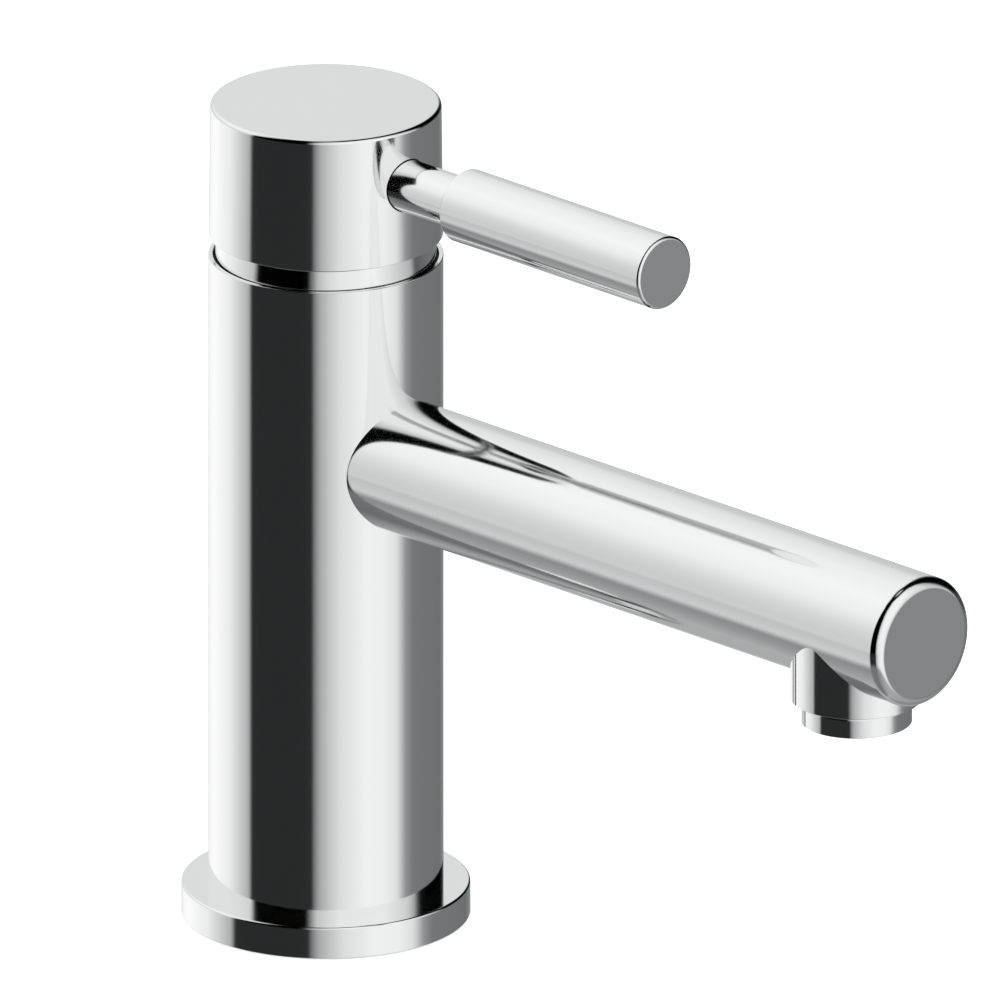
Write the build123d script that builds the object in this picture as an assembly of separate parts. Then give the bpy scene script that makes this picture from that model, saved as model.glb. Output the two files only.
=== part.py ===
from build123d import *
from math import cos, radians, sin, sqrt
import os

# A single-lever basin mixer. Millimetres; the deck is z = 0, the column stands on the z axis, and the
# spout and the lever point along -Y. A "reach" is a distance from the column's axis towards -Y.

# fits
slip = 0.05             # radial gap of a piece that goes into another
run_gap = 0.1           # radial gap of a piece that turns or slides in another
pin_gap = 0.03          # radial gap of the spindle on its pin
free_gap = 0.3          # gap between pieces that pass each other
melt = 0.01             # keeps a round just short of the flat beside it
overcut = 1.0           # how far a cut runs past the surface it opens

# foot
foot_step = 5.0         # foot's edge outside the column's surface
foot_height = 6.1
foot_round = 0.4
seal_margin = 3.0       # seal's groove outside the foot's bore
seal_width = 2.5
seal_depth = 1.6
plate_height = 16.0
stud_radius = 3.4       # M8 tapping hole
stud_depth = 12.0
stud_edge = 7.95        # stud's centre inside the plate's edge
hose_radius = 4.5       # M10 x 1 tapping hole
hose_depth = 10.0
tube_seat = 4.0         # length of a supply tube in its sockets

# column
column_radius = 22.0
column_wall = 2.0
rim_height = 130.45     # top of the column above the deck
rim_wall = 0.89
rim_recess = 4.45       # depth of the wider bore at the rim
rim_round = 0.15

# levels that follow from the rim
pivot_depth = 8.95      # pivot pin below the rim
outlet_depth = 7.5      # spout's axis below the cartridge seat

# waterways
supply_radius = 2.8
supply_wall = 1.6
outlet_radius = 4.2
drop_radius = 3.5       # outlet port from the cartridge down to the spout's axis
drop_shift = 0.5        # outlet port behind the column's axis
waterway_web = 2.3      # metal between an inlet and the outlet passage
body_wall = 2.35
body_below = 12.0       # valve body below the spout's axis
body_inset = 1.95       # top of the valve body below the rim
thread_step = 1.0       # nut's thread outside the cartridge chamber
peg_radius = 1.3
peg_length = 2.2
peg_angle = 55.0        # from the X axis, towards the back

# spout
spout_radius = 12.58
spout_wall = 1.5
spout_reach = 158.1     # column's axis to the spout's end
spout_round = 2.05
cap_spigot = 4.7
outlet_reach = 140.1    # column's axis to the outlet's axis
collar_step = 1.75      # collar's edge outside its bush
bush_wall = 1.35
collar_below = 2.72     # collar's lower face below the spout
collar_lift = 9.3       # collar's bush above its lower face
nipple_radius = 6.0
nipple_socket = 8.5     # depth of the nipple's socket in the valve body
nipple_flange = 3.6
ring_section = 0.5      # O-ring's section radius
ring_insets = (5.95, 2.95)      # O-rings inside the valve body's face

# aerator
aerator_step = 1.26     # aerator's edge outside its thread
aerator_drop = 4.53     # aerator's lower face below the collar
aerator_groove = 0.3
aerator_round = 0.75    # upper edge of the housing
waist_step = 0.4
aerator_thread = 9.2
aerator_wall = 1.0
lip_width = 0.7
aerator_lip = 1.2
aerator_screw = 5.2     # threaded length above the collar's lower face
gasket_height = 1.6
insert_height = 5.5
screen_height = 0.3
regulator_height = 2.1
regulator_ring = 4.6
regulator_hole = 1.1
regulator_holes = 8
cell_radius = 0.62
cell_pitch = 1.6
screen_hole = 0.45
screen_pitch = 1.35

# cartridge
chamber_gap = 0.1
housing_wall = 1.5
base_height = 4.0
base_rim = 1.4
base_rim_height = 2.7
gasket_depth = 1.6
disc_seal_depth = 1.4
seal_border = 2.8       # base's solid border outside its two rubber seals
fixed_disc_height = 3.2
moving_disc_height = 3.0
port_inset = 6.0        # inlet slots' middle line inside the fixed disc's edge
port_width = 4.0
port_start = -25.0      # inlet slots' ends, in degrees from the X axis
port_end = -65.0
pocket_margin = 0.7     # pocket's edge inside the slots' inner edge
pocket_shift = 1.5      # pocket's centre behind the axis when closed
pocket_depth = 2.2
carrier_web = 0.5       # plastic under the ball's socket
carrier_plate = 2.0
carrier_block = 3.0
carrier_half = 5.0
socket_spare = 0.8      # room behind the ball for the tipped arm
carrier_gap = 0.8       # carrier's edge inside the housing at the end of its travel
dowel_radius = 1.2
dowel_inset = 2.4       # dowels inside the carrier's edge
dowel_depth = 1.5
roof_height = 2.0
shoulder_lift = 0.3     # housing's shoulder above the pivot
neck_wall = 1.6
neck_lift = 4.5         # housing's neck above the pivot
roof_ledge = 4.1        # housing's roof inside its bore
rotor_lift = 6.5        # rotor's top above the pivot
rotor_spare = 1.0       # room in front of the tipped spindle
tab_inset = 0.5         # inner end of the rotor's tab
flange_gap = 2.0
rail_width = 4.3
rail_gap = 2.9          # rails' corners inside the housing's bore
stop_step = 0.8         # full ring under the stops
stop_height = 1.8
stop_angle = 45.0       # the lever's turn to each side
tab_angle = 10.0        # half the width of the rotor's tab
stop_slack = 1.0

# nut and bonnet
nut_lift = 12.0         # top of the nut above the pivot
nut_gap = 0.6           # nut's corners inside the bonnet
nut_collar = 1.2
bonnet_wall = 1.2
bonnet_gap = 0.38       # radial gap between bonnet and rim
bonnet_taper = 0.31     # bonnet's skirt is this much narrower at its shoulder
shoulder_height = 3.65  # bonnet's shoulder above the rim
shoulder_round = 0.1
gap_seal_height = 0.9   # rubber ring in the gap between bonnet and rim
mouth_spare = 14.8      # degrees from the tipped spindle's middle to the bonnet's mouth

# spindle and its travel
lift_angle = 25.0
arm_length = 7.5        # pivot to the ball
ball_radius = 2.2
ball_gap = 0.2
arm_radius = 1.8
spindle_half = 4.0
spindle_foot = 3.5      # square part below the pivot
spindle_tip = 3.0       # hub's metal above the spindle
pin_radius = 1.5

# handle
cap_gap = 4.22          # rim to the cap's lower edge
cap_inset = 0.05        # cap's lower edge inside the column's surface
cap_draft = 0.3
cap_wall = 1.3
cap_roof = 3.0
cap_round = 0.7
hub_radius = 13.0
hub_clear = 0.74        # hub above the bonnet's dome
hub_wall = 2.45
lever_rise = 4.61       # lever's axis above the hub's lower face
lever_drop = 10.95      # lever's axis below the cap's top
stud_end = 8.3          # reach of the lever's threaded end
stud_half = 3.0
hub_face = 12.5         # reach of the flat that the neck stands on
waist_radius = 4.98
waist_gap = 0.19        # hole in the cap round the lever's neck
grip_start = 37.0
grip_end = 89.6
grip_radius = 7.07
grip_round = 0.6
grip_tenon = 3.5
tenon_length = 12.0
screw_flats = 3.0
screw_socket = 2.0

# derived places
column_bore = column_radius - column_wall
rim_bore = column_radius - rim_wall
recess_z = rim_height - rim_recess
pivot_z = rim_height - pivot_depth
ball_z = pivot_z - arm_length
moving_top = ball_z - ball_radius - run_gap - carrier_web
fixed_top = moving_top - moving_disc_height
base_top = fixed_top - fixed_disc_height
seat_z = base_top - base_height
spout_z = seat_z - outlet_depth
foot_radius = column_radius + foot_step
seal_radius = column_bore + seal_margin
body_radius = column_bore - slip
body_low = spout_z - body_below
body_top = rim_height - body_inset
chamber_radius = body_radius - body_wall
thread_radius = chamber_radius + thread_step
supply_x = outlet_radius + waterway_web + supply_radius
supply_outer = supply_radius + supply_wall
stud_y = body_radius - stud_edge
outlet_low = spout_z - spout_radius - collar_below
ring_reaches = [body_radius - inset for inset in ring_insets]
collar_bush = aerator_thread + slip + bush_wall
collar_radius = collar_bush + collar_step
aerator_radius = aerator_thread + aerator_step
aerator_waist = aerator_thread + waist_step
aerator_bore = aerator_thread - aerator_wall
aerator_mouth = aerator_bore - lip_width

cartridge_radius = chamber_radius - chamber_gap
housing_bore = cartridge_radius - housing_wall
base_radius = housing_bore - slip
fixed_radius = base_radius - base_rim - slip
carrier_top = moving_top + carrier_plate
block_top = carrier_top + carrier_block
seal_disc = base_radius - seal_border
peg_ring = base_radius - seal_border / 2
port_ring = fixed_radius - port_inset
pocket_radius = port_ring - port_width / 2 - pocket_margin
disc_travel = arm_length * radians(lift_angle)
moving_radius = housing_bore - disc_travel - carrier_gap
dowel_reach = moving_radius - dowel_inset
rotor_radius = housing_bore - roof_ledge
rotor_flange = housing_bore - flange_gap
rail = carrier_half + 2 * run_gap
rail_half = sqrt((housing_bore - rail_gap) ** 2 - (rail + rail_width) ** 2)
rotor_low = block_top + free_gap
shoulder_z = pivot_z + shoulder_lift
roof_z = shoulder_z - roof_height
neck_bore = rotor_radius + run_gap
neck_radius = neck_bore + neck_wall
neck_top = pivot_z + neck_lift
rotor_top = pivot_z + rotor_lift

bonnet_radius = rim_bore - bonnet_gap
bonnet_shoulder = bonnet_radius - bonnet_taper
dome_radius = sqrt(bonnet_radius**2 + pivot_depth**2)
collar_z = body_top + free_gap
nut_top = pivot_z + nut_lift
nut_bore = neck_radius + free_gap
nut_corner = sqrt((dome_radius - bonnet_wall - nut_gap) ** 2 - nut_lift**2)
bonnet_mouth = dome_radius * sin(radians(lift_angle + mouth_spare))

cap_low = rim_height + cap_gap
cap_radius = column_radius - cap_inset
hub_low = pivot_z + dome_radius + hub_clear
lever_z = hub_low + lever_rise
cap_top = lever_z + lever_drop
cap_height = cap_top - cap_low
hub_top = cap_top - cap_roof - run_gap
spindle_top = hub_top - free_gap - spindle_tip

upward = (Align.CENTER, Align.CENTER, Align.MIN)


def disc(radius, low, high, x=0.0, y=0.0):
    return Pos(x, y, low) * Cylinder(radius, high - low, align=upward)


def ring(radius, bore, low, high):
    return disc(radius, low, high) - disc(bore, low, high)


def rod(radius, near, far, z):
    bar = Cylinder(radius, far - near, align=upward)
    return Pos(0, -near, z) * Rot(90, 0, 0) * bar


def block(x_low, x_high, y_low, y_high, low, high):
    size = (x_high - x_low, y_high - y_low, high - low)
    return Pos(x_low, y_low, low) * Box(*size, align=(Align.MIN, Align.MIN, Align.MIN))


def sector(radius, bore, start, end, low, high):
    outer = [(radius * cos(radians(a)), radius * sin(radians(a))) for a in (start, (start + end) / 2, end)]
    inner = [(bore * cos(radians(a)), bore * sin(radians(a))) for a in (start, (start + end) / 2, end)]
    edges = [
        ThreePointArc(*outer),
        Line(outer[2], inner[2]),
        ThreePointArc(*reversed(inner)),
        Line(inner[0], outer[0]),
    ]
    face = make_face(edges)
    return Pos(0, 0, low) * extrude(face, high - low, dir=(0, 0, 1))


def sides(shape):
    return shape + mirror(shape, Plane.YZ)


def hex_spots(pitch, limit):
    rows = int(limit / pitch) + 2
    spots = []
    for row in range(-rows, rows + 1):
        for column in range(-rows, rows + 1):
            x = (column + row / 2) * pitch
            y = row * pitch * sqrt(3) / 2
            if sqrt(x**2 + y**2) <= limit:
                spots.append((x, y))
    return spots


def inlet_slots(start, low, high):
    outer = port_ring + port_width / 2
    inner = port_ring - port_width / 2
    return sides(sector(outer, inner, port_end, start, low, high))


def inlet_holes(low, high):
    return sides(disc(supply_radius, low, high, x=supply_x))


def outlet_hole(low, high):
    return disc(drop_radius, low, high, y=drop_shift)


def pegs(radius, low, high):
    x = peg_ring * cos(radians(peg_angle))
    y = peg_ring * sin(radians(peg_angle))
    return sides(disc(radius, low, high, x=x, y=y))


# fixed to the deck

def base_ring():
    shape = ring(foot_radius, column_bore, 0, foot_height)
    edge = shape.edges().filter_by(GeomType.CIRCLE).sort_by(Axis.Z).group_by(Axis.Z)[-1]
    shape = fillet(edge.sort_by(SortBy.LENGTH)[-1], foot_round)
    return shape - ring(seal_radius + seal_width, seal_radius, 0, seal_depth)


def base_seal():
    return ring(seal_radius + seal_width - slip, seal_radius + slip, 0, seal_depth)


def foot_plate():
    tube_low = plate_height - tube_seat
    shape = disc(body_radius, 0, plate_height)
    shape -= disc(stud_radius, 0, stud_depth, y=stud_y)
    shape -= sides(disc(hose_radius, 0, hose_depth, x=supply_x))
    shape -= inlet_holes(hose_depth, tube_low)
    return shape - sides(disc(supply_outer, tube_low, plate_height, x=supply_x))


def supply_tube(side):
    low = plate_height - tube_seat
    high = body_low + tube_seat
    outer = disc(supply_outer, low, high, x=side * supply_x)
    return outer - disc(supply_radius, low, high, x=side * supply_x)


def valve_body():
    shape = disc(body_radius, body_low, body_top)
    shape += disc(rim_bore - slip, recess_z, body_top)
    shape -= disc(chamber_radius, seat_z, shoulder_z)
    shape -= disc(thread_radius, shoulder_z - free_gap, body_top)
    shape -= outlet_hole(spout_z, seat_z)
    shape -= rod(outlet_radius, -drop_radius - drop_shift, body_radius - nipple_socket, spout_z)
    shape -= rod(nipple_radius + slip, body_radius - nipple_socket, column_radius, spout_z)
    shape -= inlet_holes(body_low + tube_seat, seat_z)
    shape -= sides(disc(supply_outer, body_low, body_low + tube_seat, x=supply_x))
    return shape - pegs(peg_radius + slip, seat_z - peg_length - slip, seat_z)


def column_sleeve():
    shape = ring(column_radius, column_bore, foot_height, rim_height)
    shape -= disc(rim_bore, recess_z, rim_height)
    rim = shape.edges().filter_by(GeomType.CIRCLE).group_by(Axis.Z)[-1]
    shape = fillet(rim, rim_round)
    return shape - rod(nipple_radius + run_gap, column_bore / 2, column_radius + column_wall, spout_z)


# spout

def spout_tube():
    far = spout_reach - spout_round
    shape = rod(spout_radius, 0, far, spout_z) - rod(spout_radius - spout_wall, 0, far, spout_z)
    shape -= disc(column_radius, outlet_low, rim_height)
    return shape - disc(collar_bush, outlet_low, spout_z, y=-outlet_reach)


def spout_end_cap():
    seam = spout_reach - spout_round
    shape = rod(spout_radius, seam, spout_reach, spout_z)
    edge = shape.edges().filter_by(GeomType.CIRCLE).sort_by(Axis.Y)[0]
    shape = fillet(edge, spout_round - melt)
    return shape + rod(spout_radius - spout_wall, seam - cap_spigot, seam, spout_z)


def spout_nipple():
    near = body_radius - nipple_socket
    face = column_radius + free_gap
    shape = rod(nipple_radius, near, face, spout_z)
    shape += rod(spout_radius - spout_wall - slip, face, face + nipple_flange, spout_z)
    shape -= rod(outlet_radius, near, face + nipple_flange, spout_z)
    for reach in ring_reaches:
        low = reach - ring_section
        high = reach + ring_section
        groove = rod(nipple_radius + slip, low, high, spout_z)
        groove -= rod(nipple_radius - 2 * ring_section, low, high, spout_z)
        shape -= groove
    return shape


def nipple_o_rings():
    rings = []
    for reach in ring_reaches:
        loop = Torus(nipple_radius - ring_section, ring_section)
        rings.append(Pos(0, -reach, spout_z) * Rot(90, 0, 0) * loop)
    return Compound(children=rings)


def outlet_collar():
    top = outlet_low + collar_lift
    seat = outlet_low + aerator_screw + gasket_height
    shape = disc(collar_radius, outlet_low, spout_z, y=-outlet_reach)
    shape -= rod(spout_radius, 0, spout_reach, spout_z)
    shape += disc(collar_bush, outlet_low, top, y=-outlet_reach)
    shape -= disc(aerator_thread + slip, outlet_low, seat, y=-outlet_reach)
    return shape - disc(aerator_bore, seat, top, y=-outlet_reach)


# aerator, built on the z axis and moved under the spout's end

def under_spout(shape):
    return Pos(0, -outlet_reach, outlet_low) * shape


def aerator_housing():
    low = -aerator_drop
    groove = -aerator_groove
    shape = disc(aerator_radius, low, groove)
    edge = shape.edges().filter_by(GeomType.CIRCLE).sort_by(Axis.Z)[-1]
    shape = fillet(edge, aerator_round)
    shape += disc(aerator_waist, groove, 0)
    shape += disc(aerator_thread, 0, aerator_screw)
    shape -= disc(aerator_mouth, low, low + aerator_lip)
    return under_spout(shape - disc(aerator_bore, low + aerator_lip, aerator_screw))


def aerator_gasket():
    low = aerator_screw
    return under_spout(ring(aerator_thread, aerator_bore - slip, low, low + gasket_height))


def aerator_insert():
    low = aerator_lip - aerator_drop
    shape = disc(aerator_bore - slip, low, low + insert_height)
    for x, y in hex_spots(cell_pitch, aerator_mouth - cell_pitch / 2):
        shape -= disc(cell_radius, low, low + insert_height, x=x, y=y)
    return under_spout(shape)


def aerator_screen():
    low = aerator_lip - aerator_drop + insert_height
    shape = disc(aerator_bore - slip, low, low + screen_height)
    for x, y in hex_spots(screen_pitch, aerator_mouth - screen_pitch / 2):
        shape -= disc(screen_hole, low, low + screen_height, x=x, y=y)
    return under_spout(shape)


def flow_regulator():
    low = aerator_lip - aerator_drop + insert_height + screen_height
    shape = disc(aerator_bore - slip, low, low + regulator_height)
    for hole in range(regulator_holes):
        turn = radians(360 * hole / regulator_holes)
        x = regulator_ring * cos(turn)
        y = regulator_ring * sin(turn)
        shape -= disc(regulator_hole, low, low + regulator_height, x=x, y=y)
    return under_spout(shape)


# cartridge

def port_gasket():
    shape = disc(seal_disc - slip, seat_z, seat_z + gasket_depth)
    shape -= inlet_holes(seat_z, seat_z + gasket_depth)
    return shape - outlet_hole(seat_z, seat_z + gasket_depth)


def cartridge_base():
    web_low = seat_z + gasket_depth
    web_high = base_top - disc_seal_depth
    shape = disc(base_radius, seat_z, base_top)
    shape += ring(base_radius, base_radius - base_rim, base_top, base_top + base_rim_height)
    shape -= disc(seal_disc, seat_z, web_low)
    shape -= disc(seal_disc, web_high, base_top)
    shape -= inlet_holes(web_low, web_high)
    shape -= inlet_slots(0, web_low, web_high)
    shape -= outlet_hole(web_low, web_high)
    return shape + pegs(peg_radius, seat_z - peg_length, seat_z)


def disc_seal():
    low = base_top - disc_seal_depth
    shape = disc(seal_disc - slip, low, base_top)
    return shape - inlet_slots(0, low, base_top) - outlet_hole(low, base_top)


def fixed_disc():
    shape = disc(fixed_radius, base_top, fixed_top)
    return shape - inlet_slots(port_start, base_top, fixed_top) - outlet_hole(base_top, fixed_top)


def cartridge_housing():
    shape = disc(cartridge_radius, seat_z, shoulder_z)
    shape += disc(neck_radius, shoulder_z, neck_top)
    shape -= disc(housing_bore, seat_z, roof_z)
    return shape - disc(neck_bore, roof_z, neck_top)


def stop_ring():
    gap = stop_angle + tab_angle + stop_slack
    shape = ring(neck_radius, neck_bore, neck_top, neck_top + stop_step)
    low = neck_top + stop_step
    high = neck_top + stop_height
    return shape + sector(neck_radius, neck_bore, 90 + gap, 450 - gap, low, high)


def cartridge_nut():
    shape = disc(thread_radius - slip, shoulder_z, body_top)
    shape += disc(bonnet_radius - bonnet_wall - slip, collar_z, collar_z + nut_collar)
    shape += disc(thread_radius - slip, body_top, collar_z)
    flats = RegularPolygon(nut_corner, 6)
    head = extrude(flats, nut_top - collar_z - nut_collar, dir=(0, 0, 1))
    shape += Pos(0, 0, collar_z + nut_collar) * head
    return shape - disc(nut_bore, shoulder_z, nut_top)


def bonnet():
    pivot = Pos(0, 0, pivot_z)
    outer = pivot * Sphere(dome_radius)
    inner = pivot * Sphere(dome_radius - bonnet_wall)
    top = pivot_z + dome_radius
    skirt = Cone(bonnet_radius, bonnet_shoulder, shoulder_height, align=upward)
    skirt = Pos(0, 0, rim_height) * skirt
    edge = skirt.edges().filter_by(GeomType.CIRCLE).sort_by(Axis.Z)[-1]
    shape = outer & disc(bonnet_radius, body_top, top)
    shape += fillet(edge, shoulder_round)
    shape -= inner & disc(bonnet_radius - bonnet_wall, body_top, top)
    return shape - disc(bonnet_mouth, body_top, top)


def bonnet_seal():
    return ring(rim_bore - slip, bonnet_radius + slip, body_top, body_top + gap_seal_height)


# turns with the lever

def cartridge_rotor():
    front = -spindle_half * cos(radians(lift_angle)) - spindle_foot * sin(radians(lift_angle)) - rotor_spare
    back = spindle_half / cos(radians(lift_angle))
    back += rotor_lift * sin(radians(lift_angle)) / cos(radians(lift_angle)) + 2 * free_gap
    shape = disc(rotor_flange, rotor_low, roof_z - run_gap * 2)
    shape += disc(rotor_radius, rotor_low, rotor_top)
    shape += sides(block(rail, rail + rail_width, -rail_half, rail_half, carrier_top + free_gap, rotor_low))
    low = neck_top + stop_step + run_gap
    tab = sector(neck_radius, tab_inset, 90 - tab_angle, 90 + tab_angle, low, neck_top + stop_height)
    shape += tab
    gap = run_gap * 2
    shape -= block(-spindle_half - gap, spindle_half + gap, front, back, carrier_top, rotor_top)
    return shape - pin_bar(pin_radius)


def pin_bar(radius):
    length = 2 * (rotor_radius - free_gap)
    return Pos(0, 0, pivot_z) * Rot(0, 90, 0) * Cylinder(radius, length)


def pivot_pin():
    return pin_bar(pin_radius)


# slides in the cartridge

def disc_carrier():
    shape = disc(moving_radius, moving_top, carrier_top)
    shape += block(-carrier_half, carrier_half, -carrier_half, carrier_half, carrier_top, block_top)
    socket = ball_radius + ball_gap
    floor = ball_z - ball_radius - run_gap
    shape -= disc(socket, floor, block_top)
    shape -= block(-socket, socket, 0, socket + socket_spare, ball_z, block_top)
    return shape + sides(disc(dowel_radius, moving_top - dowel_depth, moving_top, x=dowel_reach))


def moving_disc():
    shape = disc(moving_radius, fixed_top, moving_top)
    shape -= disc(pocket_radius, fixed_top, fixed_top + pocket_depth, y=pocket_shift)
    hole_low = moving_top - dowel_depth - slip
    return shape - sides(disc(dowel_radius + slip, hole_low, moving_top, x=dowel_reach))


# tips with the lever

def spindle():
    shape = Pos(0, 0, ball_z) * Sphere(ball_radius)
    shape += disc(arm_radius, ball_z, pivot_z - spindle_foot)
    half = spindle_half
    shape += block(-half, half, -half, half, pivot_z - spindle_foot, spindle_top)
    return shape - pin_bar(pin_radius + pin_gap)


def handle_hub():
    half = spindle_half + slip
    shape = disc(hub_radius, hub_low, hub_top)
    shape -= block(-half, half, -half, half, hub_low, spindle_top + free_gap)
    shape -= rod(stud_half + slip, 0, hub_radius, lever_z)
    return shape - rod(waist_radius + waist_gap, hub_face, hub_radius + overcut, lever_z)


def hub_screw():
    shape = rod(stud_half, spindle_half, stud_end - free_gap, lever_z)
    flats = RegularPolygon(screw_flats / 2, 6, major_radius=False)
    socket = Rot(90, 0, 0) * extrude(flats, screw_socket, dir=(0, 0, 1))
    return shape - Pos(0, screw_socket - stud_end + free_gap, lever_z) * socket


def handle_cap():
    taper = Cone(cap_radius, cap_radius - cap_draft, cap_height, align=upward)
    shape = Pos(0, 0, cap_low) * taper
    edge = shape.edges().filter_by(GeomType.CIRCLE).sort_by(Axis.Z)[-1]
    shape = fillet(edge, cap_round)
    depth = cap_height - cap_roof
    mouth = cap_radius - cap_wall
    hollow = Cone(mouth, mouth - cap_draft, depth, align=upward)
    shape -= Pos(0, 0, cap_low) * hollow
    bore = hub_radius + slip
    shape += ring(bore + hub_wall, bore, hub_low, cap_top - cap_roof)
    return shape - rod(waist_radius + waist_gap, hub_face, cap_radius + overcut, lever_z)


def lever_neck():
    shape = rod(stud_half, stud_end, hub_face, lever_z)
    shape += rod(waist_radius, hub_face, grip_start, lever_z)
    return shape + rod(grip_tenon, grip_start, grip_start + tenon_length, lever_z)


def lever_grip():
    shape = rod(grip_radius, grip_start, grip_end, lever_z)
    edge = shape.edges().filter_by(GeomType.CIRCLE).sort_by(Axis.Y)[0]
    shape = fillet(edge, grip_round)
    return shape - rod(grip_tenon, grip_start, grip_start + tenon_length + free_gap, lever_z)


pieces = {
    "base_ring": base_ring(),
    "base_seal": base_seal(),
    "foot_plate": foot_plate(),
    "supply_tube_hot": supply_tube(-1),
    "supply_tube_cold": supply_tube(1),
    "valve_body": valve_body(),
    "column_sleeve": column_sleeve(),
    "spout_tube": spout_tube(),
    "spout_end_cap": spout_end_cap(),
    "spout_nipple": spout_nipple(),
    "nipple_o_rings": nipple_o_rings(),
    "outlet_collar": outlet_collar(),
    "aerator_housing": aerator_housing(),
    "aerator_gasket": aerator_gasket(),
    "aerator_insert": aerator_insert(),
    "aerator_screen": aerator_screen(),
    "flow_regulator": flow_regulator(),
    "port_gasket": port_gasket(),
    "cartridge_base": cartridge_base(),
    "disc_seal": disc_seal(),
    "fixed_disc": fixed_disc(),
    "cartridge_housing": cartridge_housing(),
    "stop_ring": stop_ring(),
    "cartridge_nut": cartridge_nut(),
    "bonnet": bonnet(),
    "bonnet_seal": bonnet_seal(),
    "cartridge_rotor": cartridge_rotor(),
    "pivot_pin": pivot_pin(),
    "disc_carrier": disc_carrier(),
    "moving_disc": moving_disc(),
    "spindle": spindle(),
    "handle_hub": handle_hub(),
    "hub_screw": hub_screw(),
    "handle_cap": handle_cap(),
    "lever_neck": lever_neck(),
    "lever_grip": lever_grip(),
}

os.makedirs("parts", exist_ok=True)
for name, shape in pieces.items():
    export_step(shape, f"parts/{name}.step")
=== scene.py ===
import bpy
from math import acos, asin, atan2, cos, hypot, pi, radians, sin, sqrt, tan
from mathutils import Matrix, Vector


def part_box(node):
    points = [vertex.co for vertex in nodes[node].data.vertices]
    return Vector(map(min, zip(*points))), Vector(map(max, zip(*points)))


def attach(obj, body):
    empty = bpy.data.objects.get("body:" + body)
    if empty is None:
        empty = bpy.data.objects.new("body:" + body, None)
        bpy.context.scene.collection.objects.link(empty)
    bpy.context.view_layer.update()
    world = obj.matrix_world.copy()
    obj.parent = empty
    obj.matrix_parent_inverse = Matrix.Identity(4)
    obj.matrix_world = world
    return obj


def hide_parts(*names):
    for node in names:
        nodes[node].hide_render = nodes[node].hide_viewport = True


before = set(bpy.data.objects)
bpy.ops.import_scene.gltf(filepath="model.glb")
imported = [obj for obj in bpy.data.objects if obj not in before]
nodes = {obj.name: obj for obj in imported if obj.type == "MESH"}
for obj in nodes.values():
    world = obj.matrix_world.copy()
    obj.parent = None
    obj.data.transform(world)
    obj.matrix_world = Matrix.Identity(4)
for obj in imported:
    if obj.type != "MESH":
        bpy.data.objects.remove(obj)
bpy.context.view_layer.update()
mm = 0.001
tiny = 1e-6

print("frame loaded:", len(nodes), "nodes")


# where things are, read from the CAD nodes

def span(node, axis):
    low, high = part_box(node)
    return low[axis], high[axis]


footRadius = span("base_ring", 0)[1]
footTop = span("base_ring", 2)[1]
columnRadius = span("column_sleeve", 0)[1]
rimZ = span("column_sleeve", 2)[1]
spoutRadius = span("spout_end_cap", 0)[1]
spoutZ = sum(span("spout_end_cap", 2)) / 2
spoutEnd = -span("spout_end_cap", 1)[0]
spoutSeam = -span("spout_tube", 1)[0]
outletReach = -sum(span("outlet_collar", 1)) / 2
outletZ = span("outlet_collar", 2)[0]
collarRadius = span("outlet_collar", 0)[1]
aeratorRadius = span("aerator_housing", 0)[1]
aeratorLow, aeratorTop = span("aerator_housing", 2)
insertRadius = span("aerator_insert", 0)[1]
insertLow, insertTop = span("aerator_insert", 2)
bonnetRadius = span("bonnet", 0)[1]
bonnetLow = span("bonnet", 2)[0]
capRadius = span("handle_cap", 0)[1]
capLow, capTop = span("handle_cap", 2)
hubRadius = span("handle_hub", 0)[1]
hubLow = span("handle_hub", 2)[0]
leverZ = sum(span("lever_grip", 2)) / 2
gripRadius = span("lever_grip", 0)[1]
gripEnd, gripStart = (-reach for reach in span("lever_grip", 1))
neckRadius = span("lever_neck", 0)[1]
neckEnd, neckStart = (-reach for reach in span("lever_neck", 1))
pivotZ = sum(span("pivot_pin", 2)) / 2

upright = Matrix.Identity(4)
underOutlet = Matrix.Translation((0, -outletReach, 0))

facets = dict(body=288, cap=320, outlet=240, neck=192, insert=120, hole=96, neckHole=128)
cutterSide = 100  # a cutter's faces are numbered from here, a piece's own from 0
cutterReach = 30 * mm  # a cutter ends well outside the piece


def forward(axisZ):  # local height runs towards the spout's end
    return Matrix(((1, 0, 0, 0), (0, 0, -1, 0), (0, 1, 0, axisZ), (0, 0, 0, 1)))


# a turned piece is an outline of (radius, height, rounding) corners, walked with the metal on its left

def bend(middle, radius, side, turn, steps, hollow):
    spots = []
    for step in range(steps + 1):
        a = turn * step / steps
        way = Vector((side.x * cos(a) - side.y * sin(a), side.x * sin(a) + side.y * cos(a)))
        spots.append((middle + way * radius * (-1 if hollow else 1), way, way, None))
    return spots


def outline(corners, closed=True, steps=6):
    spots = []
    last = len(corners) - 1
    for i, corner in enumerate(corners):
        here = Vector(corner[:2])
        rounding = corner[2] if len(corner) > 2 else 0
        fit = corner[3] if len(corner) > 3 else None
        before = Vector(corners[i - 1][:2]) if closed or i > 0 else None
        after = Vector(corners[(i + 1) % (last + 1)][:2]) if closed or i < last else None
        wayIn = (here - before).normalized() if before is not None else (after - here).normalized()
        wayOut = (after - here).normalized() if after is not None else wayIn
        sideIn = Vector((wayIn.y, -wayIn.x))
        sideOut = Vector((wayOut.y, -wayOut.x))
        turn = atan2(wayIn.x * wayOut.y - wayIn.y * wayOut.x, wayIn.dot(wayOut))
        if not rounding:
            spots.append((here, sideIn, sideOut, fit))
            continue
        start = here - wayIn * rounding * tan(abs(turn) / 2)
        middle = start - sideIn * rounding * (1 if turn > 0 else -1)
        spots += bend(middle, rounding, sideIn, turn, steps, turn < 0)
    return spots


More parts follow.
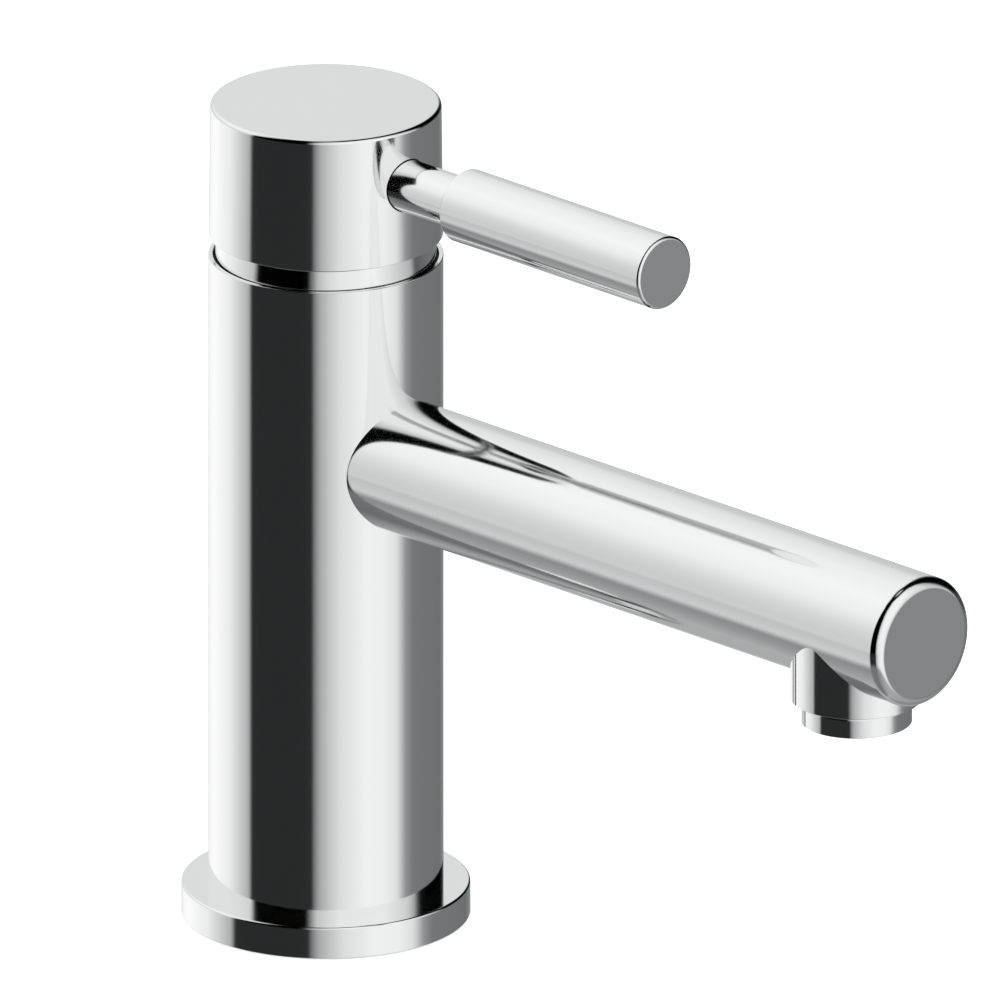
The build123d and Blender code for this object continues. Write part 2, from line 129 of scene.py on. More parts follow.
def turned(name, spots, place, closed=True, around=facets["body"], firstSide=0):
    points, rows, faces, sides = [], [], [], []
    for here, _, _, fit in spots:
        if here.x < tiny:
            rows.append([len(points)] * around)
            points.append(place @ Vector((0, 0, here.y)))
            continue
        rows.append(list(range(len(points), len(points) + around)))
        for j in range(around):
            x = here.x * cos(2 * pi * j / around)
            y = here.x * sin(2 * pi * j / around)
            points.append(place @ Vector((x, y, fit(x, y) if fit else here.y)))
    for i in range(len(rows) if closed else len(rows) - 1):
        low, high = rows[i], rows[(i + 1) % len(rows)]
        for j in range(around):
            k = (j + 1) % around
            face = [low[j], low[k], high[k], high[j]]
            face = [v for n, v in enumerate(face) if v != face[n - 1]]
            faces.append(face)
            sides.append(firstSide + i)
    mesh = bpy.data.meshes.new(name)
    mesh.from_pydata(points, [], faces)
    mesh.attributes.new("side", "INT", "FACE").data.foreach_set("value", sides)
    mesh.update()
    piece = bpy.data.objects.new(name, mesh)
    bpy.context.scene.collection.objects.link(piece)
    return piece


def cut(piece, cutter):  # takes the cutter's shape out and drops the cutter
    modifier = piece.modifiers.new("cut", "BOOLEAN")
    modifier.object = cutter
    modifier.operation = "DIFFERENCE"
    modifier.solver = "EXACT"
    view = bpy.context.evaluated_depsgraph_get()
    mesh = bpy.data.meshes.new_from_object(piece.evaluated_get(view))
    piece.modifiers.clear()
    old = piece.data
    piece.data = mesh
    mesh.name = piece.name
    bpy.data.meshes.remove(old)
    bpy.data.objects.remove(cutter)


def polish(piece, *sources):  # exact normals of the turned faces, so reflections run true
    mesh = piece.data
    sides = [0] * len(mesh.polygons)
    mesh.attributes["side"].data.foreach_get("value", sides)
    mesh.polygons.foreach_set("use_smooth", [True] * len(mesh.polygons))
    normals = [None] * len(mesh.loops)
    local = []
    for first, spots, way, sign in sources:
        local.append((first, spots, way.inverted(), way.to_3x3(), sign))
    for face, side in zip(mesh.polygons, sides):
        first, spots, back, ahead, sign = [s for s in local if side >= s[0]][-1]
        i = side - first
        start, _, sideOut, fit = spots[i]
        end, sideIn, _, _ = spots[(i + 1) % len(spots)]
        middle = back @ face.center
        way = end - start
        for loop in face.loop_indices:
            p = back @ mesh.vertices[mesh.loops[loop].vertex_index].co
            r = hypot(p.x, p.y)
            share = (Vector((r, p.z)) - start).dot(way) / way.length_squared if way.length > 0 else 0
            flat = sideOut.lerp(sideIn, min(max(share, 0), 1)).normalized()
            across = Vector((p.x, p.y)) if r > tiny else Vector((middle.x, middle.y))
            across.normalize()
            normals[loop] = ahead @ Vector((across.x * flat.x, across.y * flat.x, flat.y)) * sign
    mesh.attributes.remove(mesh.attributes["side"])
    mesh.normals_split_custom_set(normals)
    mesh.update()


def place(piece, body, material, slot, *replaced):
    piece.data.materials.clear()
    piece.data.materials.append(material)
    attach(piece, body)
    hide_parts(*replaced)


# shader groups

def newGroup(name, inputs, outputs):
    group = bpy.data.node_groups.new(name, "ShaderNodeTree")
    for socket, kind, value in inputs:
        made = group.interface.new_socket(name=socket, in_out="INPUT", socket_type=kind)
        if value is not None:
            made.default_value = value
    for socket, kind in outputs:
        group.interface.new_socket(name=socket, in_out="OUTPUT", socket_type=kind)
    return group, group.nodes.new("NodeGroupInput"), group.nodes.new("NodeGroupOutput")


def node(tree, kind, links=None, **settings):
    made = tree.nodes.new(kind)
    for key, value in settings.items():
        if hasattr(made, key):
            setattr(made, key, value)
        else:
            made.inputs[key.replace("_", " ")].default_value = value
    for socket, source in (links or {}).items():
        tree.links.new(source, made.inputs[socket])
    return made


def calc(tree, operation, a, b=None, c=None):
    made = tree.nodes.new("ShaderNodeMath")
    made.operation = operation
    for n, value in enumerate((a, b, c)):
        if value is None:
            continue
        if isinstance(value, (int, float)):
            made.inputs[n].default_value = value
        else:
            tree.links.new(value, made.inputs[n])
    return made.outputs[0]


def variationGroup():  # slow tone patches and fine grain, for any finish
    number, colour, vector = "NodeSocketFloat", "NodeSocketColor", "NodeSocketVector"
    group, given, out = newGroup("toneAndGrain", [
        ("Position", vector, None), ("Colour", colour, (0.8, 0.8, 0.8, 1)),
        ("Tone Spread", number, 0.05), ("Patch Scale", number, 60.0),
        ("Roughness", number, 0.3), ("Roughness Spread", number, 0.1), ("Grain Scale", number, 900.0),
    ], [("Colour", colour), ("Roughness", number), ("Height", number)])
    get = given.outputs
    patches = node(group, "ShaderNodeTexNoise", {"Vector": get["Position"], "Scale": get["Patch Scale"]},
                   Detail=3.0, Roughness=0.55)
    grain = node(group, "ShaderNodeTexNoise", {"Vector": get["Position"], "Scale": get["Grain Scale"]},
                 Detail=2.0, Roughness=0.6)
    middle = calc(group, "SUBTRACT", patches.outputs[0], 0.5)
    tone = calc(group, "MULTIPLY_ADD", middle, get["Tone Spread"], 1.0)
    tint = node(group, "ShaderNodeVectorMath", operation="SCALE")
    group.links.new(get["Colour"], tint.inputs[0])
    group.links.new(tone, tint.inputs["Scale"])
    both = calc(group, "ADD", middle, calc(group, "SUBTRACT", grain.outputs[0], 0.5))
    rough = calc(group, "MULTIPLY_ADD", both, get["Roughness Spread"], get["Roughness"])
    rough = calc(group, "MAXIMUM", rough, 0.0)
    group.links.new(tint.outputs[0], out.inputs["Colour"])
    group.links.new(rough, out.inputs["Roughness"])
    group.links.new(grain.outputs[0], out.inputs["Height"])
    return group


def turningGroup():  # fine tool rings round an upright axis, as on turned brass and steel
    number, vector = "NodeSocketFloat", "NodeSocketVector"
    group, given, out = newGroup("toolRings", [
        ("Position", vector, None), ("Ring Scale", number, 900.0),
    ], [("Rings", number)])
    parts = node(group, "ShaderNodeSeparateXYZ", {"Vector": given.outputs["Position"]})
    x, y, z = parts.outputs
    squares = calc(group, "ADD", calc(group, "MULTIPLY", x, x), calc(group, "MULTIPLY", y, y))
    radius = calc(group, "SQRT", squares)
    across = node(group, "ShaderNodeCombineXYZ", {"X": radius, "Z": z})
    rings = node(group, "ShaderNodeTexNoise",
                 {"Vector": across.outputs[0], "Scale": given.outputs["Ring Scale"]},
                 Detail=3.0, Roughness=0.7)
    group.links.new(rings.outputs[0], out.inputs["Rings"])
    return group


toneAndGrain = variationGroup()
toolRings = turningGroup()

finishes = {
    "polished_chrome": dict(colour=(0.9, 0.9, 0.9), metal=1.0, tone=0.012, patch=45, rough=0.085,
                            spread=0.02, grain=700, height=0.0000004, rings=0.0),
    "raw_brass": dict(colour=(0.72, 0.52, 0.24), metal=1.0, tone=0.25, patch=120, rough=0.3,
                      spread=0.18, grain=1500, height=0.000006, rings=0.00001),
    "black_rubber": dict(colour=(0.022, 0.022, 0.024), metal=0.0, tone=0.5, patch=220, rough=0.62,
                         spread=0.2, grain=2600, height=0.00002, rings=0.0),
    "grey_plastic": dict(colour=(0.35, 0.37, 0.4), metal=0.0, tone=0.12, patch=90, rough=0.42,
                         spread=0.12, grain=2200, height=0.000012, rings=0.0),
    "white_plastic": dict(colour=(0.85, 0.85, 0.83), metal=0.0, tone=0.06, patch=110, rough=0.38,
                          spread=0.12, grain=2000, height=0.00001, rings=0.0),
    "alumina": dict(colour=(0.9, 0.88, 0.84), metal=0.0, tone=0.05, patch=300, rough=0.24,
                    spread=0.1, grain=3500, height=0.000004, rings=0.0),
    "stainless_steel": dict(colour=(0.62, 0.62, 0.61), metal=1.0, tone=0.1, patch=150, rough=0.26,
                            spread=0.12, grain=1800, height=0.000003, rings=0.00001),
}


def finish(name, colour, metal, tone, patch, rough, spread, grain, height, rings):
    material = bpy.data.materials.new(name)
    material.use_nodes = True
    tree = material.node_tree
    shader = tree.nodes["Principled BSDF"]
    shader.inputs["Metallic"].default_value = metal
    where = tree.nodes.new("ShaderNodeTexCoord").outputs["Object"]
    vary = node(tree, "ShaderNodeGroup", node_tree=toneAndGrain)
    tree.links.new(where, vary.inputs["Position"])
    for socket, value in (("Tone Spread", tone), ("Patch Scale", patch), ("Roughness", rough),
                          ("Roughness Spread", spread), ("Grain Scale", grain)):
        vary.inputs[socket].default_value = value
    vary.inputs["Colour"].default_value = (*colour, 1)
    tree.links.new(vary.outputs["Colour"], shader.inputs["Base Color"])
    tree.links.new(vary.outputs["Roughness"], shader.inputs["Roughness"])
    bump = node(tree, "ShaderNodeBump", Strength=1.0, Distance=height)
    tree.links.new(vary.outputs["Height"], bump.inputs["Height"])
    if rings:
        marks = node(tree, "ShaderNodeGroup", node_tree=toolRings)
        tree.links.new(where, marks.inputs["Position"])
        cutMarks = node(tree, "ShaderNodeBump", Strength=1.0, Distance=rings)
        tree.links.new(marks.outputs["Rings"], cutMarks.inputs["Height"])
        tree.links.new(bump.outputs["Normal"], cutMarks.inputs["Normal"])
        bump = cutMarks
    tree.links.new(bump.outputs["Normal"], shader.inputs["Normal"])
    return material


materials = {name: finish(name, **look) for name, look in finishes.items()}
chrome = materials["polished_chrome"]
print("materials ready:", len(materials))


# foot and column

foot = dict(bore=20.0 * mm, sealInner=23.0 * mm, sealOuter=25.5 * mm, sealDepth=1.6 * mm,
            topRound=0.4 * mm, lowRound=0.05 * mm)
column = dict(bore=20.0 * mm, rimWall=0.89 * mm, rimDepth=4.45 * mm, rimRound=0.15 * mm,
              nippleHole=6.1 * mm)


def baseRing():
    spots = outline([
        (foot["bore"], 0), (foot["sealInner"], 0), (foot["sealInner"], foot["sealDepth"]),
        (foot["sealOuter"], foot["sealDepth"]), (foot["sealOuter"], 0),
        (footRadius, 0, foot["lowRound"]), (footRadius, footTop, foot["topRound"]), (foot["bore"], footTop),
    ])
    piece = turned("baseRing", spots, upright)
    polish(piece, (0, spots, upright, 1))
    place(piece, "body", chrome, "polished_chrome", "base_ring")


def columnSleeve():
    rimBore = columnRadius - column["rimWall"]
    step = rimZ - column["rimDepth"]
    spots = outline([
        (column["bore"], footTop), (columnRadius, footTop), (columnRadius, rimZ, column["rimRound"]),
        (rimBore, rimZ, column["rimRound"]), (rimBore, step), (column["bore"], step),
    ])
    piece = turned("columnSleeve", spots, upright)
    radius = column["nippleHole"]
    hole = outline([(0, 0), (radius, 0), (radius, cutterReach), (0, cutterReach)], False)
    cut(piece, turned("nippleHole", hole, forward(spoutZ), False, facets["hole"], cutterSide))
    polish(piece, (0, spots, upright, 1), (cutterSide, hole, forward(spoutZ), -1))
    place(piece, "body", chrome, "polished_chrome", "column_sleeve")


baseRing()
columnSleeve()
print("foot and column ready")


# spout, its end and the outlet

spout = dict(wall=1.5 * mm, endRound=2.04 * mm, endSteps=12, spigot=4.7 * mm)
collar = dict(bush=10.6 * mm, bushLength=9.3 * mm, thread=9.25 * mm, bore=8.2 * mm, seat=6.8 * mm,
              edge=0.08 * mm)
aerator = dict(thread=9.2 * mm, waist=9.6 * mm, bore=8.2 * mm, mouth=7.5 * mm, lip=1.2 * mm,
               groove=0.3 * mm, lowEdge=0.12 * mm, mouthEdge=0.08 * mm, topRound=0.75 * mm)


def onColumn(x, y):  # where the spout meets the column
    return sqrt(columnRadius ** 2 - x ** 2)


def underSpout(x, y):  # where the collar meets the spout
    return spoutZ - sqrt(spoutRadius ** 2 - x ** 2)


def spoutTube():
    inner = spoutRadius - spout["wall"]
    spots = outline([
        (spoutRadius, columnRadius, 0, onColumn), (spoutRadius, spoutSeam),
        (inner, spoutSeam), (inner, columnRadius, 0, onColumn),
    ])
    way = forward(spoutZ)
    piece = turned("spoutTube", spots, way)
    hole = outline([(0, outletZ), (collar["bush"], outletZ), (collar["bush"], spoutZ), (0, spoutZ)], False)
    cut(piece, turned("bushHole", hole, underOutlet, False, facets["hole"], cutterSide))
    polish(piece, (0, spots, way, 1), (cutterSide, hole, underOutlet, -1))
    place(piece, "body", chrome, "polished_chrome", "spout_tube")


def spoutEndCap():
    inner = spoutRadius - spout["wall"]
    spots = outline([
        (0, spoutSeam - spout["spigot"]), (inner, spoutSeam - spout["spigot"]), (inner, spoutSeam),
        (spoutRadius, spoutSeam), (spoutRadius, spoutEnd, spout["endRound"]), (0, spoutEnd),
    ], False, spout["endSteps"])
    piece = turned("spoutEndCap", spots, forward(spoutZ), False)
    polish(piece, (0, spots, forward(spoutZ), 1))
    place(piece, "body", chrome, "polished_chrome", "spout_end_cap")


def outletCollar():
    top = outletZ + collar["bushLength"]
    seat = outletZ + collar["seat"]
    spots = outline([
        (collar["thread"], outletZ), (collarRadius, outletZ, collar["edge"]),
        (collarRadius, spoutZ - spoutRadius, 0, underSpout),
        (collar["bush"], spoutZ - spoutRadius, 0, underSpout),
        (collar["bush"], top), (collar["bore"], top), (collar["bore"], seat), (collar["thread"], seat),
    ])
    piece = turned("outletCollar", spots, underOutlet, True, facets["outlet"])
    polish(piece, (0, spots, underOutlet, 1))
    place(piece, "body", chrome, "polished_chrome", "outlet_collar")


def aeratorHousing():
    shelf = aeratorLow + aerator["lip"]
    shoulder = outletZ - aerator["groove"]
    spots = outline([
        (aerator["mouth"], aeratorLow, aerator["mouthEdge"]),
        (aeratorRadius, aeratorLow, aerator["lowEdge"]),
        (aeratorRadius, shoulder, aerator["topRound"]),
        (aerator["waist"], shoulder), (aerator["waist"], outletZ),
        (aerator["thread"], outletZ), (aerator["thread"], aeratorTop), (aerator["bore"], aeratorTop),
        (aerator["bore"], shelf), (aerator["mouth"], shelf),
    ])
    piece = turned("aeratorHousing", spots, underOutlet, True, facets["outlet"])
    polish(piece, (0, spots, underOutlet, 1))
    place(piece, "body", chrome, "polished_chrome", "aerator_housing")


spoutTube()
spoutEndCap()
outletCollar()
aeratorHousing()
print("spout and outlet ready")


# honeycomb that straightens the water

honeycomb = dict(pitch=1.6 * mm, wall=0.3 * mm, field=6.3 * mm, rows=13, rimGap=0.25 * mm,
                 rimStep=0.5 * mm, edge=0.05 * mm)


def oneCell():  # a six-sided tube, shared by all cells
    points, faces = [], []
    apothem = honeycomb["pitch"] / 2
    toCorner = 1 / cos(radians(30))
    for radius in (apothem, apothem - honeycomb["wall"] / 2):
        for z in (insertLow, insertTop):
            for n in range(6):
                a = radians(30 + 60 * n)
                points.append((radius * toCorner * cos(a), radius * toCorner * sin(a), z))
    for n in range(6):
        m = (n + 1) % 6
        faces += [(n, m, 6 + m, 6 + n), (12 + m, 12 + n, 18 + n, 18 + m)]
        faces += [(m, n, 12 + n, 12 + m), (6 + n, 6 + m, 18 + m, 18 + n)]
    mesh = bpy.data.meshes.new("honeycombCell")
    mesh.from_pydata(points, [], faces)
    return mesh


def cellTree():
    tree = bpy.data.node_groups.new("honeycombField", "GeometryNodeTree")
    sockets = {}
    for name, kind in (("Geometry", "NodeSocketGeometry"), ("Pitch", "NodeSocketFloat"),
                       ("Field Radius", "NodeSocketFloat"), ("Outlet", "NodeSocketVector"),
                       ("Rows", "NodeSocketInt"), ("Material", "NodeSocketMaterial")):
        made = tree.interface.new_socket(name=name, in_out="INPUT", socket_type=kind)
        sockets[name] = made.identifier
    tree.interface.new_socket(name="Geometry", in_out="OUTPUT", socket_type="NodeSocketGeometry")
    get = tree.nodes.new("NodeGroupInput").outputs
    out = tree.nodes.new("NodeGroupOutput")
    steps = calc(tree, "SUBTRACT", get["Rows"], 1)
    size = calc(tree, "MULTIPLY", steps, get["Pitch"])
    grid = node(tree, "GeometryNodeMeshGrid", {"Size X": size, "Size Y": size,
                                               "Vertices X": get["Rows"], "Vertices Y": get["Rows"]})
    where = tree.nodes.new("GeometryNodeInputPosition").outputs[0]
    spot = node(tree, "ShaderNodeSeparateXYZ", {"Vector": where})
    row = calc(tree, "ROUND", calc(tree, "DIVIDE", spot.outputs["Y"], get["Pitch"]))
    odd = calc(tree, "MULTIPLY", calc(tree, "ABSOLUTE", calc(tree, "MODULO", row, 2.0)), get["Pitch"])
    x = calc(tree, "MULTIPLY_ADD", odd, 0.5, spot.outputs["X"])
    y = calc(tree, "MULTIPLY", spot.outputs["Y"], sqrt(3) / 2)
    moved = node(tree, "ShaderNodeCombineXYZ", {"X": x, "Y": y})
    placed = node(tree, "GeometryNodeSetPosition",
                  {"Geometry": grid.outputs["Mesh"], "Position": moved.outputs[0]})
    reach = node(tree, "ShaderNodeVectorMath", operation="LENGTH")
    tree.links.new(where, reach.inputs[0])
    outside = calc(tree, "GREATER_THAN", reach.outputs["Value"], get["Field Radius"])
    kept = node(tree, "GeometryNodeDeleteGeometry",
                {"Geometry": placed.outputs[0], "Selection": outside})
    cells = node(tree, "GeometryNodeInstanceOnPoints",
                 {"Points": kept.outputs[0], "Instance": get["Geometry"]})
    home = node(tree, "GeometryNodeTransform",
                {"Geometry": cells.outputs[0], "Translation": get["Outlet"]})
    real = node(tree, "GeometryNodeRealizeInstances", {"Geometry": home.outputs[0]})
    painted = node(tree, "GeometryNodeSetMaterial",
                   {"Geometry": real.outputs[0], "Material": get["Material"]})
    tree.links.new(painted.outputs[0], out.inputs[0])
    return tree, sockets


def aeratorInsert():
    tree, sockets = cellTree()
    source = bpy.data.objects.new("aeratorCells", oneCell())
    bpy.context.scene.collection.objects.link(source)
    modifier = source.modifiers.new("cells", "NODES")
    modifier.node_group = tree
    modifier[sockets["Pitch"]] = honeycomb["pitch"]
    modifier[sockets["Field Radius"]] = honeycomb["field"]
    modifier[sockets["Outlet"]] = (0.0, -outletReach, 0.0)
    modifier[sockets["Rows"]] = honeycomb["rows"]
    modifier[sockets["Material"]] = materials["white_plastic"]
    view = bpy.context.evaluated_depsgraph_get()
    cells = bpy.data.meshes.new_from_object(source.evaluated_get(view))
    bpy.data.objects.remove(source)
    piece = bpy.data.objects.new("aeratorHoneycomb", cells)
    bpy.context.scene.collection.objects.link(piece)
    place(piece, "body", materials["white_plastic"], "white_plastic", "aerator_insert")


def aeratorRim():
    inner = honeycomb["field"] + honeycomb["rimGap"]
    edge = honeycomb["edge"]
    spots = outline([
        (inner, insertLow + honeycomb["rimStep"]), (insertRadius, insertLow + edge, edge),
        (insertRadius, insertTop), (inner, insertTop),
    ])
    piece = turned("aeratorInsertRim", spots, underOutlet, True, facets["insert"])
    polish(piece, (0, spots, underOutlet, 1))
    place(piece, "body", materials["white_plastic"], "white_plastic", "aerator_insert")


aeratorInsert()
aeratorRim()
print("honeycomb ready")


# bonnet, cap and lever

bonnet = dict(wall=1.2 * mm, mouth=radians(39.8), domeSteps=24, taper=0.31 * mm, shoulder=3.65 * mm,
              edge=0.1 * mm)
cap = dict(draft=0.3 * mm, wall=1.3 * mm, roof=3.0 * mm, topRound=0.7 * mm, lowRound=0.08 * mm,
           roundSteps=10, boss=2.45 * mm, bossGap=0.05 * mm, neckGap=0.19 * mm)
lever = dict(stud=3.0 * mm, hubFace=12.5 * mm, tenon=3.5 * mm, tenonSpare=0.3 * mm,
             startRound=0.2 * mm, endRound=0.6 * mm, roundSteps=10)


def bonnetRing():
    dome = hypot(bonnetRadius, rimZ - pivotZ)
    shoulderZ = rimZ + bonnet["shoulder"]
    inner = dome - bonnet["wall"]
    innerSkirt = bonnetRadius - bonnet["wall"]
    mouth = dome * sin(bonnet["mouth"])
    middle = Vector((0, pivotZ))
    skirt = outline([
        (bonnetRadius, bonnetLow), (bonnetRadius, rimZ),
        (bonnetRadius - bonnet["taper"], shoulderZ, bonnet["edge"]),
        (sqrt(dome ** 2 - (shoulderZ - pivotZ) ** 2), shoulderZ),
    ], False)
    first, last = asin((shoulderZ - pivotZ) / dome), pi / 2 - bonnet["mouth"]
    steps = bonnet["domeSteps"]
    outside = bend(middle, dome, Vector((cos(first), sin(first))), last - first, steps, False)
    first, last = pi / 2 - asin(mouth / inner), acos(innerSkirt / inner)
    inside = bend(middle, inner, Vector((-cos(first), -sin(first))), last - first, steps, True)
    toAxis, down, up = Vector((-1, 0)), Vector((0, -1)), Vector((0, 1))
    skirt[0] = (skirt[0][0], down, skirt[0][2], None)
    skirt[-1] = (skirt[-1][0], up, outside[0][2], None)
    outside[-1] = (outside[-1][0], outside[-1][1], toAxis, None)
    inside[0] = (inside[0][0], toAxis, inside[0][2], None)
    inside[-1] = (inside[-1][0], inside[-1][1], toAxis, None)
    low = (Vector((innerSkirt, bonnetLow)), toAxis, down, None)
    spots = skirt + outside[1:] + inside + [low]
    piece = turned("bonnetRing", spots, upright, True, facets["cap"])
    polish(piece, (0, spots, upright, 1))
    place(piece, "body", chrome, "polished_chrome", "bonnet")


def handleCap():
    roof = capTop - cap["roof"]
    bore = hubRadius + cap["bossGap"]
    mouth = capRadius - cap["wall"]
    spots = outline([
        (0, roof), (bore, roof), (bore, hubLow), (bore + cap["boss"], hubLow), (bore + cap["boss"], roof),
        (mouth - cap["draft"], roof), (mouth, capLow), (capRadius, capLow, cap["lowRound"]),
        (capRadius - cap["draft"], capTop, cap["topRound"]), (0, capTop),
    ], False, cap["roundSteps"])
    piece = turned("handleCap", spots, upright, False, facets["cap"])
    radius = neckRadius + cap["neckGap"]
    face = lever["hubFace"]
    hole = outline([(0, face), (radius, face), (radius, cutterReach), (0, cutterReach)], False)
    cut(piece, turned("neckHole", hole, forward(leverZ), False, facets["neckHole"], cutterSide))
    polish(piece, (0, spots, upright, 1), (cutterSide, hole, forward(leverZ), -1))
    place(piece, "handle", chrome, "polished_chrome", "handle_cap")


def leverNeck():
    spots = outline([
        (0, neckStart), (lever["stud"], neckStart), (lever["stud"], lever["hubFace"]),
        (neckRadius, lever["hubFace"]), (neckRadius, gripStart),
        (lever["tenon"], gripStart), (lever["tenon"], neckEnd), (0, neckEnd),
    ], False)
    piece = turned("leverNeck", spots, forward(leverZ), False, facets["neck"])
    polish(piece, (0, spots, forward(leverZ), 1))
    place(piece, "handle", chrome, "polished_chrome", "lever_neck")


def leverGrip():
    depth = neckEnd + lever["tenonSpare"]
    spots = outline([
        (0, depth), (lever["tenon"], depth), (lever["tenon"], gripStart),
        (gripRadius, gripStart, lever["startRound"]), (gripRadius, gripEnd, lever["endRound"]), (0, gripEnd),
    ], False, lever["roundSteps"])
    piece = turned("leverGrip", spots, forward(leverZ), False, facets["outlet"])
    polish(piece, (0, spots, forward(leverZ), 1))
    place(piece, "handle", chrome, "polished_chrome", "lever_grip")


bonnetRing()
handleCap()
leverNeck()
leverGrip()
print("bonnet, cap and lever ready")


# the CAD nodes that stay take their slot's finish

slotOf = {
    "raw_brass": ("foot_plate", "supply_tube_hot", "supply_tube_cold", "valve_body", "spout_nipple",
                  "cartridge_nut", "handle_hub"),
    # the black bonnet_seal is a real seal ring, and its black also serves as painted shade for the shadow
    # deep in the gap between the bonnet and the column's rim
    "black_rubber": ("base_seal", "bonnet_seal", "nipple_o_rings", "aerator_gasket", "port_gasket",
                     "disc_seal"),
    "grey_plastic": ("cartridge_base", "cartridge_housing"),
    "white_plastic": ("cartridge_rotor", "disc_carrier", "stop_ring", "flow_regulator"),
    "alumina": ("fixed_disc", "moving_disc"),
    "stainless_steel": ("spindle", "pivot_pin", "hub_screw", "aerator_screen"),
}
for slot, names in slotOf.items():
    for name in names:
        kept = nodes[name]
        if not kept.data.materials:
            kept.data.materials.append(materials[slot])
        for spot in kept.material_slots:
            spot.material = materials[slot]
print("inner parts painted")


# studio: a white floor, a bright room with two tall dark flags, and the camera

studio = dict(azimuth=-45, elevation=20, aimReach=45.99 * mm, aimZ=93.17 * mm, width=186.74 * mm,
              distance=1.0, floorSize=4.0, floorDrop=0.2 * mm, fill=1.35, floorGlow=0.35,
              mirror=0.9, coolness=0.06, nearClip=0.01, farClip=10)
floorPaint = dict(colour=(0.93, 0.93, 0.93), metal=0.0, tone=0.01, patch=6, rough=0.9, spread=0.05,
                  grain=40, height=0.00002, rings=0.0)
rooms = [  # (elevation where it starts, where it is full, [(azimuth from the camera, brightness)])
    (None, None, [(-180, 0.65), (-130, 0.67), (-85, 0.46), (-20, 0.44), (15, 0.56), (55, 0.65), (80, 0.63),
                  (130, 0.5), (180, 0.65)]),
    (-37, -28, [(-180, 0.72), (-170, 0.88), (-155, 0.96), (-140, 0.98), (-110, 0.92), (-82, 0.68),
                (-78, 0.16), (-14, 0.16), (-10, 0.52), (-5, 0.67), (14, 0.86), (40, 0.94), (60, 0.93),
                (74, 0.87), (85, 0.57), (95, 0.46), (150, 0.43), (180, 0.6)]),
    (-17, -12, [(-180, 0.8), (-140, 0.9), (-115, 0.9), (-90, 0.82), (-80, 0.74), (-74, 0.0), (-18, 0.0),
                (-13, 0.5), (-8, 0.72), (2, 0.84), (14, 0.9), (50, 0.95), (74, 0.83), (98, 0.74),
                (106, 0.25), (160, 0.33), (168, 0.6), (180, 0.8)]),
    (-8, 2, [(-180, 0.81), (-150, 0.83), (-80, 0.81), (-74, 0.05), (-70, 0.0), (-19, 0.0), (-15, 0.5),
             (-9, 0.8), (14, 0.94), (60, 0.95), (87, 0.83), (97, 0.68), (102, 0.4), (107, 0.1),
             (116, 0.0), (150, 0.0), (160, 0.2), (168, 0.5), (175, 0.75), (180, 0.81)]),
    (-2, 34, [(-180, 0.88), (-160, 0.93), (-115, 0.96), (-92, 0.93), (-80, 0.88), (-74, 0.1),
              (-70, 0.0), (-19, 0.0), (-15, 0.5), (-9, 0.8), (14, 0.94), (60, 0.95), (87, 0.84),
              (97, 0.65), (102, 0.3), (107, 0.0), (158, 0.0), (166, 0.3), (174, 0.65), (180, 0.88)]),
    (50, 60, [(-180, 0.7), (-172, 0.85), (-110, 0.85), (-97, 0.8), (-84, 0.1), (-78, 0.0), (-12, 0.0),
              (-2, 0.7), (10, 0.9), (60, 0.92), (85, 0.7), (100, 0.0), (172, 0.0), (180, 0.7)]),
    (62, 72, [(-180, 0.0), (180, 0.0)]),
    (79, 87, [(-180, 0.75), (180, 0.75)]),
]


def toLight(brightness):  # brightness on the display's curve, as seen in the chrome, to slightly cool light
    light = ((brightness + 0.055) / 1.055) ** 2.4 if brightness > 0.04 else brightness / 12.92
    light = light / studio["mirror"]
    cool = studio["coolness"] * (1 - brightness)
    return light * (1 - cool), light, light * (1 + cool / 3), 1


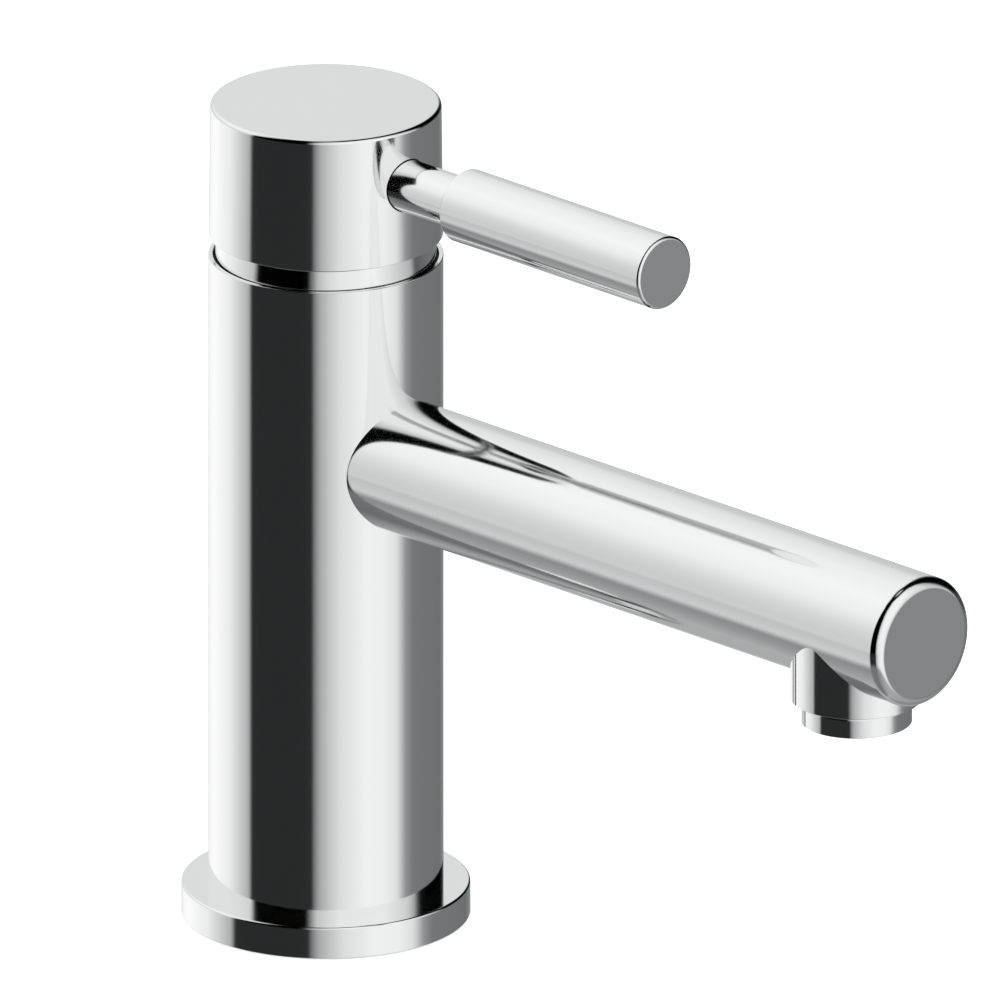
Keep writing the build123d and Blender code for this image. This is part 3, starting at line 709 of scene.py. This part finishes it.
def makeRoom():
    world = bpy.data.worlds.new("studioRoom")
    bpy.context.scene.world = world
    world.use_nodes = True
    world.cycles.sampling_method = "NONE"  # only reflected rays look up the room, so its dark parts stay dark
    tree = world.node_tree
    tree.nodes.clear()
    look = node(tree, "ShaderNodeVectorRotate", rotation_type="Z_AXIS")
    tree.links.new(tree.nodes.new("ShaderNodeTexCoord").outputs["Generated"], look.inputs["Vector"])
    look.inputs["Angle"].default_value = radians(-studio["azimuth"])
    x, y, z = node(tree, "ShaderNodeSeparateXYZ", {"Vector": look.outputs[0]}).outputs
    azimuth = calc(tree, "ARCTAN2", x, calc(tree, "MULTIPLY", y, -1.0))
    share = calc(tree, "MULTIPLY_ADD", azimuth, 1 / (2 * pi), 0.5)
    height = calc(tree, "MULTIPLY", calc(tree, "ARCSINE", z), 180 / pi)
    mixed = None
    for start, full, stops in rooms:
        ramp = node(tree, "ShaderNodeValToRGB", {"Fac": share})
        points = ramp.color_ramp.elements
        while len(points) < len(stops):
            points.new(0.5)
        for point, (angle, brightness) in zip(points, stops):
            point.position = (angle + 180) / 360
            point.color = toLight(brightness)
        if mixed is None:
            mixed = ramp.outputs["Color"]
            continue
        amount = node(tree, "ShaderNodeMapRange", {"Value": height}, From_Min=start, From_Max=full)
        amount.interpolation_type = "SMOOTHSTEP"
        blend = node(tree, "ShaderNodeMix", data_type="RGBA")
        tree.links.new(amount.outputs[0], blend.inputs[0])
        tree.links.new(mixed, blend.inputs[6])
        tree.links.new(ramp.outputs["Color"], blend.inputs[7])
        mixed = blend.outputs[2]
    glossy = node(tree, "ShaderNodeBackground", {"Color": mixed})
    plain = node(tree, "ShaderNodeBackground", Strength=studio["fill"])
    plain.inputs["Color"].default_value = (1, 1, 1, 1)
    path = tree.nodes.new("ShaderNodeLightPath")
    choose = node(tree, "ShaderNodeMixShader", {0: path.outputs["Is Glossy Ray"]})
    tree.links.new(plain.outputs[0], choose.inputs[1])
    tree.links.new(glossy.outputs[0], choose.inputs[2])
    out = tree.nodes.new("ShaderNodeOutputWorld")
    tree.links.new(choose.outputs[0], out.inputs["Surface"])


def makeFloor():
    half = studio["floorSize"] / 2
    drop = -studio["floorDrop"]
    mesh = bpy.data.meshes.new("paleFloor")
    corners = [(-half, -half, drop), (half, -half, drop), (half, half, drop), (-half, half, drop)]
    mesh.from_pydata(corners, [], [(0, 1, 2, 3)])
    floor = bpy.data.objects.new("paleFloor", mesh)
    bpy.context.scene.collection.objects.link(floor)
    paint = finish("pale_paint", **floorPaint)
    shader = paint.node_tree.nodes["Principled BSDF"]
    shader.inputs["Emission Color"].default_value = (1, 1, 1, 1)
    shader.inputs["Emission Strength"].default_value = studio["floorGlow"]
    mesh.materials.append(paint)
    floor.visible_glossy = False


def makeCamera():
    a, e = radians(studio["azimuth"]), radians(studio["elevation"])
    back = Vector((sin(a) * cos(e), -cos(a) * cos(e), sin(e)))
    data = bpy.data.cameras.new("camera")
    data.type = "ORTHO"
    data.ortho_scale = studio["width"]
    data.clip_start, data.clip_end = studio["nearClip"], studio["farClip"]
    camera = bpy.data.objects.new("camera", data)
    camera.location = Vector((0, -studio["aimReach"], studio["aimZ"])) + back * studio["distance"]
    camera.rotation_mode = "QUATERNION"
    camera.rotation_quaternion = (-back).to_track_quat("-Z", "Y")
    bpy.context.scene.collection.objects.link(camera)
    bpy.context.scene.camera = camera
    bpy.context.scene.view_settings.view_transform = "Standard"


makeRoom()
makeFloor()
makeCamera()
print("studio ready")
